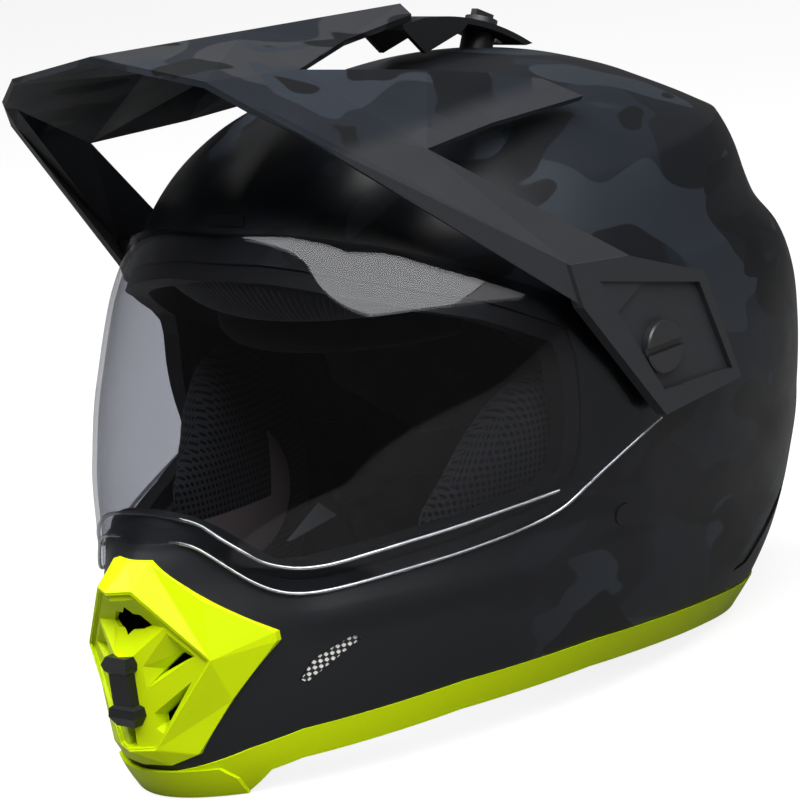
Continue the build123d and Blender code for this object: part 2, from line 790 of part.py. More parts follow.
def pocket(outline_shares, opening_shares):
    """Pocket that narrows from its outline in the web to its window, and goes on straight through."""
    outline, opening = front_points(outline_shares), front_points(opening_shares)
    front, rear = -shell_half_length - overrun, -shell_half_length / 2
    rings = [
        [Vector(x, front, z) for x, z in outline],
        [Vector(x, vent_front(x) + web_recess, z) for x, z in outline],
        [Vector(x, vent_front(x) + web_recess + window_depth, z) for x, z in opening],
        [Vector(x, rear, z) for x, z in opening],
    ]
    return ring_solid(rings)


def slider_ends():
    low = slider_low_share * shell_height
    return low, low + slider_height


def stem_slot():
    """Slot in the web for the slider's stem."""
    _, high = stem_ends()
    low, high, half = slot_low_share * shell_height, high + seat_gap, stem_half_width + seat_gap
    face = outline_face([(-half, low), (half, low), (half, high), (-half, high)])
    return front_prism(face, -shell_half_length - overrun, -shell_half_length / 2)


def stem_ends():
    low, high = slider_ends()
    middle = (low + high) / 2
    return middle - stem_height / 2, middle + stem_height / 2


def chin_vent_bezel():
    """Coloured chin vent: faceted bezel, and inside it a web with narrowing pockets."""
    top = shell_height / 2
    web = recess_prism() & web_block(web_recess, web_recess + tub_depth, shell_half_width / 2, 0, top)
    bezel = bezel_block() - dome(skin_gap)
    bezel -= recess_prism(-bezel_edge) & web_block(-overrun, web_recess, shell_half_width / 2, 0, top)
    bezel = bezel + web
    for outline_shares, opening_shares in zip(pocket_shares, window_shares):
        cutter = pocket(outline_shares, opening_shares)
        bezel -= cutter
        if outline_shares[-1][0] > 0:
            bezel -= to_right(cutter)
    return bezel - stem_slot()


def chin_vent_slider():
    """Finger slider of the chin vent: two ridged ends, a waist, and a stem through the web."""
    low, high = slider_ends()
    rings = []
    for height_share, width_share, reach_share in slider_level_shares:
        z, half = low + height_share * slider_height, width_share * slider_half_width
        front = vent_front(0) + web_recess - reach_share * slider_reach
        places = [(-half, front, z), (half, front, z)]
        places += [(x, vent_front(x) + web_recess - seat_gap, z) for x in (half, 0, -half)]
        rings.append([Vector(*place) for place in places])
    stem_low, stem_high = stem_ends()
    half, rear = stem_half_width, vent_front(0) + web_recess + tub_depth
    face = outline_face([(-half, stem_low), (half, stem_low), (half, stem_high), (-half, stem_high)])
    return ring_solid(rings) + front_prism(face, vent_front(0) + web_recess - seat_gap * 2, rear)


def chin_vent_shutter():
    """Plate behind the web that moves with the slider."""
    low, high = slider_ends()
    middle, front = (low + high) / 2, web_recess + tub_depth + seat_gap
    reach = shutter_height / 2
    return web_block(front, front + shutter_wall, shutter_half_width, middle - reach, middle + reach)


def chin_vent_filter():
    """Foam filter across the air passage in the chin liner."""
    return skin(-filter_recess, -filter_recess - filter_wall) & recess_prism(-skin_gap)


def side_vent_mesh():
    return skin(-mesh_recess, -mesh_recess - mesh_wall) & side_vent_prism(-skin_gap)


def side_plug():
    return skin(vent_proud, -shell_wall) & plug_rod(plug_radius)


def exhaust_grille():
    return skin(-mesh_recess, -mesh_recess - mesh_wall) & exhaust_prism(-skin_gap)


def rear_vent_cover():
    """Raised cover over the rear air outlet."""
    return skin(rear_cover_proud, skin_gap) & rear_prism(rear_cover_shares)


def brow_vent():
    return skin(vent_proud, -shell_wall / 2) & brow_prism(-skin_gap)


@lru_cache(maxsize=None)
def eps_liner():
    """Impact liner between the shell and the comfort liner, before it is split into its mouldings."""
    y, z = pivot()
    region = across(outline_face(side_points(eps_shares)))
    liner = (dome(-shell_wall - seat_gap) - head_space(comfort_thickness + seat_gap)) & region
    liner -= boss_rod(boss_radius + seat_gap, boss_inner() - seat_gap, mount_radius)
    reach = shell_half_width
    pocket = rod_x(insert_radius + seat_gap, insert_inner_x() - seat_gap, reach, y, z)
    shaft = rod_x(screw_radius + seat_gap, insert_inner_x() - screw_reach, reach, y, z)
    for cutter in (pocket, shaft):
        liner -= cutter
        liner -= to_right(cutter)
    return liner


def eps_section(front_y, rear_y):
    """Left moulding of the impact liner, between two places along the helmet."""
    outline = outline_face(
        [(front_y, 0), (rear_y, 0), (rear_y, shell_height), (front_y, shell_height)]
    )
    return eps_liner() & side_prism(outline, seat_gap / 2, shell_half_width)


def eps_front():
    return eps_section(-shell_half_length, eps_split_share * shell_half_length - seat_gap / 2)


def eps_rear():
    return eps_section(eps_split_share * shell_half_length + seat_gap / 2, shell_half_length)


def comfort_liner():
    region = across(outline_face(side_points(comfort_shares)))
    return (head_space(comfort_thickness) - head_space(0)) & region


def cheek_region(grow=0.0):
    face = outline_face(side_points(cheek_shares), grow=grow)
    return side_prism(face, cheek_inner_x, shell_half_width + overrun)


def cheek_base():
    """Rigid backing of the left cheek pad."""
    outer = -shell_wall - seat_gap
    return skin(outer, outer - cheek_base_wall) & cheek_region(-gasket_width / 2) - eyeport_clear()


def eyeport_clear():
    """Space of the eye opening and its seal, kept free of the pads' backing."""
    return across(eyeport_face(seat_gap))


def cheek_pad():
    """Left cheek pad: a cushion with a crowned inner face."""
    outer = -shell_wall - cheek_base_wall - 2 * seat_gap
    crown = Pos(
        cheek_inner_x + cheek_crown_radius, cheek_crown_y_share * shell_half_length,
        cheek_crown_z_share * shell_height,
    ) * Sphere(cheek_crown_radius)
    return dome(outer) & cheek_region() & crown


def chin_eps():
    """Impact liner inside the chin bar, open at the vent."""
    outer = -shell_wall - seat_gap
    region = across(outline_face(side_points(chin_eps_shares)))
    return skin(outer, outer - chin_eps_thickness) & region - recess_prism(seat_gap)


def neck_roll():
    outer = -shell_wall - seat_gap
    return skin(outer, outer - neck_roll_thickness) & across(outline_face(side_points(neck_roll_shares)))


def strap_points(shares):
    side = 1 if shares[0][0] > 0 else -1
    top = (side * strap_top_shares[0], strap_top_shares[1])
    return [(x * shell_half_width, z * shell_height) for x, z in (top,) + shares]


def strap_solid(shares):
    """Flat strap along a route in the front view, as wide as the webbing."""
    line = FilletPolyline(*strap_points(shares), radius=strap_corner)
    face = make_face(trace(line, line_width=strap_wall).edges())
    return front_prism(face, strap_y - strap_width / 2, strap_y + strap_width / 2)


def ring_pivot():
    """Axis of the buckle ring, as (x, z), at the end of the right strap."""
    x, z = strap_points(strap_right_shares)[-1]
    return x + strap_loop_radius, z


def chin_strap_left():
    return strap_solid(strap_left_shares)


def chin_strap_right():
    """Short strap that ends in the loop for the buckle ring."""
    x, z = ring_pivot()
    low = strap_y - strap_width / 2
    loop = Plane.XZ.offset(-low) * Pos(x, z) * Circle(strap_loop_radius)
    bore = Plane.XZ.offset(-low + overrun) * Pos(x, z) * Circle(ring_wire_radius + ring_bore_clearance)
    solid = strap_solid(strap_right_shares) + extrude(loop, amount=-strap_width)
    return solid - extrude(bore, amount=-strap_width - 2 * overrun)


def buckle_ring():
    """Wire ring that hangs in the right strap's loop."""
    x, z = ring_pivot()
    half = ring_width / 2
    path = FilletPolyline(
        (strap_y - half, z), (strap_y + half, z), (strap_y + half, z - ring_drop),
        (strap_y - half, z - ring_drop), radius=ring_corner, close=True,
    )
    route = (Plane.YZ.offset(x) * path).wire()
    return sweep(Plane(origin=route @ 0, z_dir=route % 0) * Circle(ring_wire_radius), path=route)


def strap_anchor():
    """Riveted plate that holds the left strap's end to the shell."""
    _, z = strap_points(strap_left_shares)[0]
    disc = rod_x(anchor_radius, shell_half_width / 2, shell_half_width, strap_y, z)
    outer = -shell_wall - skin_gap
    return skin(outer, outer - anchor_wall) & disc


left_pieces = {
    "shield_baseplate": shield_baseplate,
    "side_screw": side_screw,
    "screw_insert": screw_insert,
    "side_vent_mesh": side_vent_mesh,
    "side_plug": side_plug,
    "exhaust_grille": exhaust_grille,
    "eps_front": eps_front,
    "eps_rear": eps_rear,
    "cheek_base": cheek_base,
    "cheek_pad": cheek_pad,
    "strap_anchor": strap_anchor,
}
single_pieces = {
    "outer_shell": outer_shell,
    "lower_trim": lower_trim,
    "eyeport_gasket": eyeport_gasket,
    "face_shield": face_shield,
    "peak": peak,
    "peak_centre_mount": centre_mount,
    "crown_boss": crown_boss,
    "centre_knob": centre_knob,
    "chin_vent_bezel": chin_vent_bezel,
    "chin_vent_slider": chin_vent_slider,
    "chin_vent_shutter": chin_vent_shutter,
    "chin_vent_filter": chin_vent_filter,
    "rear_vent_cover": rear_vent_cover,
    "brow_vent": brow_vent,
    "comfort_liner": comfort_liner,
    "chin_eps": chin_eps,
    "neck_roll": neck_roll,
    "chin_strap_left": chin_strap_left,
    "chin_strap_right": chin_strap_right,
    "buckle_ring": buckle_ring,
}

os.makedirs("parts", exist_ok=True)
for name, make in single_pieces.items():
    export_step(make(), f"parts/{name}.step")
for name, make in left_pieces.items():
    left = make()
    export_step(left, f"parts/{name}_left.step")
    export_step(to_right(left), f"parts/{name}_right.step")
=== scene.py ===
from math import cos, pi, radians, sin

import bmesh
import bpy
import numpy as np
from mathutils import Matrix, Vector


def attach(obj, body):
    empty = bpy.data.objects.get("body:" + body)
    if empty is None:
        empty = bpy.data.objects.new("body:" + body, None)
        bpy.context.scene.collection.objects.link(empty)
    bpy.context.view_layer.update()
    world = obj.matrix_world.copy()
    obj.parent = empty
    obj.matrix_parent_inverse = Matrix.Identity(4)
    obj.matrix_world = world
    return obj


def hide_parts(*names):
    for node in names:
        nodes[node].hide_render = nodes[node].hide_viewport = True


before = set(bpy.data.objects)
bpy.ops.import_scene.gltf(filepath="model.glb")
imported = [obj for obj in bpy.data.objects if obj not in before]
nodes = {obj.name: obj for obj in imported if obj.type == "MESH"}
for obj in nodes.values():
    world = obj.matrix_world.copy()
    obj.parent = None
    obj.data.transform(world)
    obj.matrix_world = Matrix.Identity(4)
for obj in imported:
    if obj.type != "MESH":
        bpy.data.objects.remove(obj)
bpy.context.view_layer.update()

mm = 0.001

# Sizes of the part, in the frame's own metres
half_length = 181 * mm
half_width = 122 * mm
height = 259 * mm
wall = 4 * mm
overrun = 20 * mm
pivot_y = 0.0746 * half_length
pivot_z = 0.565 * height

# Levels of the shell: height, half width, front, rear and widest place, then the roundness exponents
level_shares = np.array((
    (0.000, 0.690, 0.922, 0.807, 0.080, 1.90, 2.50),
    (0.046, 0.745, 0.957, 0.856, 0.080, 1.85, 2.60),
    (0.135, 0.828, 0.989, 0.923, 0.083, 1.72, 2.70),
    (0.232, 0.885, 1.000, 0.972, 0.088, 1.60, 2.75),
    (0.340, 0.943, 0.950, 1.000, 0.094, 1.50, 2.75),
    (0.456, 0.984, 0.823, 1.000, 0.100, 1.90, 2.70),
    (0.564, 1.000, 0.724, 0.989, 0.105, 2.08, 2.60),
    (0.676, 0.984, 0.641, 0.950, 0.110, 2.10, 2.50),
    (0.772, 0.926, 0.558, 0.895, 0.122, 2.05, 2.45),
    (0.849, 0.836, 0.470, 0.812, 0.133, 2.05, 2.35),
    (0.919, 0.672, 0.331, 0.674, 0.155, 2.10, 2.20),
    (0.961, 0.490, 0.177, 0.536, 0.177, 2.00, 2.00),
    (0.988, 0.270, 0.011, 0.387, 0.188, 2.00, 2.00),
    (1.000, 0.100, -0.120, 0.255, 0.188, 2.00, 2.00),
))
trim_top_shares = (
    (-1.300, 0.048), (-0.950, 0.048), (-0.850, 0.077), (-0.757, 0.094), (-0.414, 0.108),
    (-0.055, 0.104), (0.398, 0.075), (0.710, 0.048), (1.300, 0.048),
)
eyeport_shares = (
    (-1.300, 0.419), (-0.854, 0.419), (-0.809, 0.372), (-0.765, 0.337), (-0.718, 0.323),
    (-0.665, 0.320), (-0.554, 0.326), (-0.364, 0.338), (-0.198, 0.359), (-0.141, 0.387),
    (-0.128, 0.431), (-0.122, 0.579), (-0.135, 0.628), (-0.291, 0.693), (-0.389, 0.722),
    (-0.477, 0.753), (-0.538, 0.779), (-0.615, 0.787), (-1.300, 0.787),
)
shield_shares = (
    (-1.300, 0.822), (-0.501, 0.822), (-0.393, 0.786), (-0.263, 0.728), (-0.150, 0.682),
    (-0.084, 0.659), (0.022, 0.649), (0.122, 0.641), (0.188, 0.598), (0.199, 0.541),
    (0.155, 0.479), (0.100, 0.444), (-0.108, 0.375), (-0.181, 0.338), (-0.367, 0.318),
    (-0.557, 0.308), (-0.674, 0.302), (-0.725, 0.304), (-0.759, 0.311), (-0.793, 0.327),
    (-0.826, 0.356), (-0.854, 0.386), (-0.869, 0.401), (-1.300, 0.403),
)
shield_low_shares = shield_shares[11:23]
shield_lip_shares = (
    (-0.185, 0.377), (-0.366, 0.361), (-0.548, 0.349), (-0.693, 0.336), (-0.768, 0.354),
    (-0.802, 0.380), (-0.830, 0.406), (-0.842, 0.433),
)
# Faceted bezel of the chin vent: its left half's points, as shares of half width, half length and height
vent_nose_share = 1.0077
vent_lean_share = 0.515
bezel_point_shares = {
    "brow_middle": (0.000, -0.927, 0.377),
    "brow": (0.078, -0.918, 0.377),
    "brow_side": (0.249, -0.880, 0.316),
    "cheek_upper": (0.420, -0.787, 0.255),
    "cheek_lower": (0.423, -0.788, 0.241),
    "jaw_side": (0.312, -0.876, 0.160),
    "jaw": (0.201, -0.928, 0.078),
    "chin": (0.106, -0.954, 0.061),
    "chin_middle": (0.000, -0.970, 0.061),
}
web_corner_shares = {
    "web_top_middle": (0.000, 0.341), "web_top": (0.076, 0.341), "web_side": (0.285, 0.228),
    "web_bottom": (0.081, 0.091), "web_bottom_middle": (0.000, 0.091),
}
bezel_faces = (
    ("brow_middle", "brow", "web_top", "web_top_middle"),
    ("brow", "web_side", "web_top"), ("brow", "brow_side", "web_side"),
    ("brow_side", "cheek_upper", "web_side"), ("cheek_upper", "cheek_lower", "web_side"),
    ("cheek_lower", "jaw_side", "web_side"), ("jaw_side", "web_bottom", "web_side"),
    ("jaw_side", "jaw", "web_bottom"), ("jaw", "chin", "web_bottom"),
    ("chin", "chin_middle", "web_bottom_middle", "web_bottom"),
)
bezel_rim = ("brow", "brow_side", "cheek_upper", "cheek_lower", "jaw_side", "jaw", "chin")
bezel_cover = 2.4 * mm
bezel_proud = 0.6 * mm
side_vent_shares = (
    (0.446, 0.172), (0.474, 0.201), (0.549, 0.226), (0.566, 0.219), (0.466, 0.169), (0.456, 0.165),
)
rear_port_shares = ((-0.400, 0.400), (0.400, 0.400), (0.330, 0.290), (-0.330, 0.290))
exhaust_shares = ((0.470, 0.104), (0.540, 0.104), (0.785, 0.193), (0.740, 0.205))
brow_vent_shares = ((-0.082, 0.830), (0.082, 0.830), (0.060, 0.846), (-0.060, 0.846))
plug_radius = 4.5 * mm
screw_radius = 3.1 * mm
hub_radius = 8.5 * mm
boss_radius = 7 * mm
boss_angle = radians(26.5)
mount_radius = 128.8 * mm
# Spoiler ridge round the crown: its height, and its section as shares of height below it and of its rise
ridge_share = 0.827
ridge_rise = 5.5 * mm
ridge_reach = 26 * mm
ridge_fade_shares = (-0.06, 0.55)
ridge_section_shares = (
    (-0.463, 0.00), (-0.347, 0.36), (-0.263, 0.64), (-0.189, 0.45), (-0.131, -0.36),
    (-0.097, -0.27), (-0.054, 0.22), (0.000, 1.00),
)
bulge_share = -0.160
bulge_fade_shares = (0.39, 0.72)
# Crease along the chin's side
crease_share = 0.265
crease_rise = 2.6 * mm
crease_above = 30 * mm
crease_below = 10 * mm
crease_y_shares = (-0.80, -0.68, -0.30, 0.05)
columns = 420
rows = 150


def new_object(name, verts, faces, smooth=True):
    """Mesh object from points and faces."""
    mesh = bpy.data.meshes.new(name)
    mesh.from_pydata([tuple(v) for v in verts], [], faces)
    mesh.validate()
    if smooth:
        mesh.polygons.foreach_set("use_smooth", [True] * len(mesh.polygons))
    obj = bpy.data.objects.new(name, mesh)
    bpy.context.scene.collection.objects.link(obj)
    return obj


def apply_modifiers(obj):
    """Bakes an object's modifiers into its mesh."""
    depsgraph = bpy.context.evaluated_depsgraph_get()
    mesh = bpy.data.meshes.new_from_object(obj.evaluated_get(depsgraph))
    obj.modifiers.clear()
    old = obj.data
    obj.data = mesh
    bpy.data.meshes.remove(old)


def sharpen(obj, angle):
    """Smooth shading with hard edges above an angle."""
    bm = bmesh.new()
    bm.from_mesh(obj.data)
    for face in bm.faces:
        face.smooth = True
    for edge in bm.edges:
        if len(edge.link_faces) == 2:
            edge.smooth = edge.calc_face_angle(0) < angle
    bm.to_mesh(obj.data)
    bm.free()


def cut(obj, cutters, operation="DIFFERENCE"):
    """Boolean of an object with cutters, which are then removed."""
    for cutter in cutters:
        modifier = obj.modifiers.new("cut", "BOOLEAN")
        modifier.operation = operation
        modifier.solver = "EXACT"
        modifier.object = cutter
    apply_modifiers(obj)
    for cutter in cutters:
        bpy.data.objects.remove(cutter)


def prism(points, low, high, place):
    """Closed prism between two depths. place turns an outline's point and a depth into a point."""
    count = len(points)
    verts = [place(p, low) for p in points] + [place(p, high) for p in points]
    faces = [tuple(range(count)), tuple(range(2 * count - 1, count - 1, -1))]
    faces += [(i, i + count, (i + 1) % count + count, (i + 1) % count) for i in range(count)]
    obj = new_object("cutter", verts, faces, smooth=False)
    bm = bmesh.new()
    bm.from_mesh(obj.data)
    bmesh.ops.recalc_face_normals(bm, faces=bm.faces)
    bm.to_mesh(obj.data)
    bm.free()
    return obj


def side_prism(shares, low=-half_width - overrun, high=half_width + overrun):
    points = [(y * half_length, z * height) for y, z in shares]
    return prism(points, low, high, lambda p, x: (x, p[0], p[1]))


def front_prism(shares, low, high, side=1):
    points = [(side * x * half_width, z * height) for x, z in shares]
    return prism(points, low, high, lambda p, y: (p[0], y, p[1]))


def rod_x(radius, low, high, y, z, steps=64):
    turns = [2 * pi * i / steps for i in range(steps)]
    ring = [(y + radius * cos(turn), z + radius * sin(turn)) for turn in turns]
    return prism(ring, low, high, lambda p, x: (x, p[0], p[1]))


def boss_place(p, reach):
    """Point beside the crown boss's axis, at a distance from the side screws' line."""
    out = Vector((0, sin(boss_angle), cos(boss_angle)))
    along = Vector((0, cos(boss_angle), -sin(boss_angle)))
    return Vector((p[0], pivot_y, pivot_z)) + along * p[1] + out * reach


def boss_rod(radius, low, high, steps=48):
    turns = [2 * pi * i / steps for i in range(steps)]
    ring = [(radius * cos(turn), radius * sin(turn)) for turn in turns]
    return prism(ring, low, high, boss_place)


def levels(z_share):
    """Width, front, rear, widest place and roundness of the shell, smooth between its levels."""
    table = level_shares
    z = table[:, 0]
    steps = np.diff(z)
    out = []
    index = np.clip(np.searchsorted(z, z_share, side="right") - 1, 0, len(z) - 2)
    t = (z_share - z[index]) / steps[index]
    for column in range(1, table.shape[1]):
        values = table[:, column]
        slope = np.diff(values) / steps
        tangent = np.empty_like(values)
        tangent[0], tangent[-1] = slope[0], slope[-1]
        for k in range(1, len(values) - 1):
            a, b = slope[k - 1], slope[k]
            tangent[k] = 0 if a * b <= 0 else 2 * a * b / (a + b)
        low, high = values[index], values[index + 1]
        m0, m1 = tangent[index] * steps[index], tangent[index + 1] * steps[index]
        value = (
            (2 * t**3 - 3 * t**2 + 1) * low + (t**3 - 2 * t**2 + t) * m0
            + (3 * t**2 - 2 * t**3) * high + (t**3 - t**2) * m1
        )
        out.append(np.where(z_share < 0, table[0, column], value))
    return out


def shell_points(turn, z_share, grow):
    """Points of the shell's form, grown outwards, at angles of turn and heights."""
    width, front, rear, widest, front_power, rear_power = levels(z_share)
    half, long = half_width + grow, half_length + grow
    c, s = np.cos(turn), np.sin(turn)
    power = np.where(s < 0, front_power, rear_power)
    reach = np.where(s < 0, widest + front, rear - widest)
    x = width * half * np.sign(c) * np.abs(c) ** (2 / power)
    y = long * (widest + np.sign(s) * reach * np.abs(s) ** (2 / power))
    z = z_share * (height + grow) + 0 * x
    return np.stack([x, y, z], -1)


def surface_x(y, z, grow):
    """Half width of the shell's form at a place of the side view."""
    z_share = np.array([z / (height + grow)])
    width, front, rear, widest, front_power, rear_power = (v[0] for v in levels(z_share))
    y_share = y / (half_length + grow)
    power = front_power if y_share < widest else rear_power
    reach = widest + front if y_share < widest else rear - widest
    inside = 1 - abs((y_share - widest) / reach) ** power
    return (half_width + grow) * width * max(inside, 0) ** (1 / power)


def even_turns(count):
    """Angles of turn that space a ring's points evenly, starting at the nose."""
    fine = np.linspace(-pi / 2, 3 * pi / 2, 20001)
    ring = shell_points(fine, np.full_like(fine, 0.5), 0)
    lengths = np.r_[0, np.cumsum(np.linalg.norm(np.diff(ring, axis=0), axis=1))]
    return np.interp(np.arange(count) / count * lengths[-1], lengths, fine)


def shell_rows(count, low_share):
    """Heights of a form's rows, closer together towards the crown, with rows on the ridge and crease."""
    v = np.linspace(0, 1, count)
    shares = low_share + (1 - low_share) * (1 - (1 - v) ** 2)
    for share in (ridge_share, crease_share):
        shares[np.argmin(np.abs(shares - share))] = share
    return shares


def smoothstep(low, high, value):
    t = np.clip((value - low) / (high - low), 0, 1)
    return t * t * (3 - 2 * t)


def smooth_line(value, places, levels):
    """Smooth curve through levels at rising places, at each value."""
    slope = np.gradient(levels, places)
    index = np.clip(np.searchsorted(places, value) - 1, 0, len(places) - 2)
    span = places[index + 1] - places[index]
    t = np.clip((value - places[index]) / span, 0, 1)
    return (
        (2 * t**3 - 3 * t**2 + 1) * levels[index] + (t**3 - 2 * t**2 + t) * span * slope[index]
        + (3 * t**2 - 2 * t**3) * levels[index + 1] + (t**3 - t**2) * span * slope[index + 1]
    )


def ridge_offset(points):
    """How far the shell's spoiler ridge and chin crease lift or sink its surface."""
    y_share, z = points[..., 1] / half_length, points[..., 2]
    section = np.array(ridge_section_shares)
    away = z - ridge_share * height
    below = smooth_line(np.minimum(away / height, 0), section[:, 0], section[:, 1])
    bulge = smoothstep(*bulge_fade_shares, y_share)
    below = np.where((away / height < bulge_share), below * bulge, below)
    above = np.clip(1 - away / ridge_reach, 0, 1) ** 2
    fade = np.clip((y_share - ridge_fade_shares[0]) / (ridge_fade_shares[1] - ridge_fade_shares[0]), 0, 1)
    ridge = ridge_rise * fade * np.where(away < 0, below, above)
    away = z - crease_share * height
    section = np.where(
        away < 0, smoothstep(-crease_below, 0, away), np.clip(1 - away / crease_above, 0, 1) ** 2
    )
    front, full, fading, rear = crease_y_shares
    reach = smoothstep(front, full, y_share) * (1 - smoothstep(fading, rear, y_share))
    return ridge + crease_rise * reach * section


def double_skin(name, outer_grow, inner_grow, low_share=-0.06, offset=None, columns=columns, rows=rows):
    """Closed layer between two grown forms of the shell."""
    turn = even_turns(columns)
    shares = shell_rows(rows, low_share)
    grid_turn, grid_share = np.meshgrid(turn, shares)
    layers = []
    for grow in (outer_grow, inner_grow):
        points = shell_points(grid_turn, grid_share, grow)
        if offset is not None:
            along = np.roll(points, -1, axis=1) - np.roll(points, 1, axis=1)
            up = np.gradient(points, axis=0)
            normal = np.cross(along, up)
            normal /= np.maximum(np.linalg.norm(normal, axis=-1, keepdims=True), 1e-12)
            points = points + normal * offset(points)[..., None]
        layers.append(points.reshape(-1, 3))
    verts = np.concatenate(layers)
    faces = []
    count = rows * columns
    for r in range(rows - 1):
        for c in range(columns):
            d = (c + 1) % columns
            a, b = r * columns + c, r * columns + d
            e, f = a + columns, b + columns
            faces.append((a, b, f, e))
            faces.append((count + b, count + a, count + e, count + f))
    top = (rows - 1) * columns
    faces.append(tuple(top + c for c in range(columns)))
    faces.append(tuple(count + top + c for c in reversed(range(columns))))
    for c in range(columns):
        d = (c + 1) % columns
        faces.append((d, c, count + c, count + d))
    return new_object(name, verts, faces)


def tube(name, points, radius, resolution=6):
    """Round bead along a smooth line."""
    curve = bpy.data.curves.new(name, "CURVE")
    curve.dimensions = "3D"
    curve.bevel_depth = radius
    curve.bevel_resolution = resolution
    spline = curve.splines.new("NURBS")
    spline.points.add(len(points) - 1)
    for point, place in zip(spline.points, points):
        point.co = (*place, 1)
    spline.order_u = 3
    spline.use_endpoint_u = True
    curve.resolution_u = 8
    curve.use_fill_caps = True
    obj = bpy.data.objects.new(name, curve)
    bpy.context.scene.collection.objects.link(obj)
    return obj


# Materials
def shader(name, colour, roughness, metallic=0.0, **sockets):
    """Material with one Principled shader; returns the material, its node tree and the shader."""
    material = bpy.data.materials.new(name)
    material.use_nodes = True
    tree = material.node_tree
    principled = tree.nodes["Principled BSDF"]
    principled.inputs["Base Color"].default_value = (*colour, 1)
    principled.inputs["Roughness"].default_value = roughness
    principled.inputs["Metallic"].default_value = metallic
    for key, value in sockets.items():
        principled.inputs[key.replace("_", " ")].default_value = value
    return material, tree, principled


def add_noise(tree, scale, detail=2.0, distortion=0.0, stretch=(1, 1, 1)):
    coordinates = tree.nodes.new("ShaderNodeTexCoord")
    mapping = tree.nodes.new("ShaderNodeMapping")
    mapping.inputs["Scale"].default_value = stretch
    noise = tree.nodes.new("ShaderNodeTexNoise")
    noise.inputs["Scale"].default_value = scale
    noise.inputs["Detail"].default_value = detail
    noise.inputs["Distortion"].default_value = distortion
    tree.links.new(coordinates.outputs["Object"], mapping.inputs["Vector"])
    tree.links.new(mapping.outputs["Vector"], noise.inputs["Vector"])
    return noise, mapping


def add_ramp(tree, value, *stops):
    ramp = tree.nodes.new("ShaderNodeValToRGB")
    elements = ramp.color_ramp.elements
    while len(elements) < len(stops):
        elements.new(1)
    for element, (place, colour) in zip(elements, stops):
        element.position = place
        element.color = (*colour, 1) if len(colour) == 3 else colour
    tree.links.new(value, ramp.inputs["Fac"])
    return ramp


def grey(value):
    return (value, value, value)


def add_mix(tree, factor, a, b):
    mix = tree.nodes.new("ShaderNodeMix")
    mix.data_type = "RGBA"
    tree.links.new(factor, mix.inputs["Factor"])
    for socket, value in ((mix.inputs[6], a), (mix.inputs[7], b)):
        if isinstance(value, tuple):
            socket.default_value = (*value, 1)
        else:
            tree.links.new(value, socket)
    return mix.outputs[2]


def add_bump(tree, principled, height_socket, strength, distance):
    bump = tree.nodes.new("ShaderNodeBump")
    bump.inputs["Strength"].default_value = strength
    bump.inputs["Distance"].default_value = distance
    tree.links.new(height_socket, bump.inputs["Height"])
    tree.links.new(bump.outputs["Normal"], principled.inputs["Normal"])
    return bump


def fine_texture(tree, principled, scale, strength, distance, base_roughness, spread):
    """Fine moulded or painted grain: a bump and a slight change of gloss."""
    noise, _ = add_noise(tree, scale, 3)
    add_bump(tree, principled, noise.outputs["Fac"], strength, distance)
    broad, _ = add_noise(tree, scale / 60, 3)
    low, high = grey(base_roughness - spread), grey(base_roughness + spread)
    ramp = add_ramp(tree, broad.outputs["Fac"], (0.3, low), (0.7, high))
    tree.links.new(ramp.outputs["Color"], principled.inputs["Roughness"])


def camo_material(name, plain, fade):
    """Matte camouflage paint. fade gives axis, low and high of a plain region's soft edge, or None."""
    material, tree, principled = shader(name, plain, 0.5, Specular_IOR_Level=0.29)
    colour = plain
    layers = (
        (20, 0.505, (0.0085, 0.0108, 0.0150), (0, 0, 0)),
        (25, 0.560, (0.0170, 0.0212, 0.0280), (0.3, 0.1, 0.2)),
        (30, 0.585, (0.0040, 0.0045, 0.0058), (0.7, 0.5, 0.1)),
    )
    for scale, threshold, paint, shift in layers:
        noise, mapping = add_noise(tree, scale, 1.2, 0.7, (1.0, 0.62, 1.15))
        mapping.inputs["Location"].default_value = shift
        noise.inputs["Roughness"].default_value = 0.35
        ramp = add_ramp(
            tree, noise.outputs["Fac"], (threshold - 0.004, grey(0)), (threshold + 0.004, grey(1))
        )
        colour = add_mix(tree, ramp.outputs["Color"], colour, paint)
    if fade:
        coordinates = tree.nodes.new("ShaderNodeTexCoord")
        split = tree.nodes.new("ShaderNodeSeparateXYZ")
        tree.links.new(coordinates.outputs["Object"], split.inputs["Vector"])
        mask = None
        for axis, low, high in fade:
            span = tree.nodes.new("ShaderNodeMapRange")
            span.interpolation_type = "SMOOTHSTEP"
            span.inputs["From Min"].default_value = low
            span.inputs["From Max"].default_value = high
            source = split.outputs["XYZ".index(axis)]
            if axis == "X":
                absolute = tree.nodes.new("ShaderNodeMath")
                absolute.operation = "ABSOLUTE"
                tree.links.new(source, absolute.inputs[0])
                source = absolute.outputs[0]
            tree.links.new(source, span.inputs["Value"])
            if mask is None:
                mask = span.outputs["Result"]
            else:
                most = tree.nodes.new("ShaderNodeMath")
                most.operation = "MAXIMUM"
                tree.links.new(mask, most.inputs[0])
                tree.links.new(span.outputs["Result"], most.inputs[1])
                mask = most.outputs[0]
        colour = add_mix(tree, mask, plain, colour)
    tree.links.new(colour, principled.inputs["Base Color"])
    fine_texture(tree, principled, 2600, 0.08, 0.05 * mm, 0.43, 0.05)
    return material


def plain_material(name, colour, roughness, grain_scale, strength, distance, spread=0.04, **sockets):
    material, tree, principled = shader(name, colour, roughness, **sockets)
    fine_texture(tree, principled, grain_scale, strength, distance, roughness, spread)
    return material


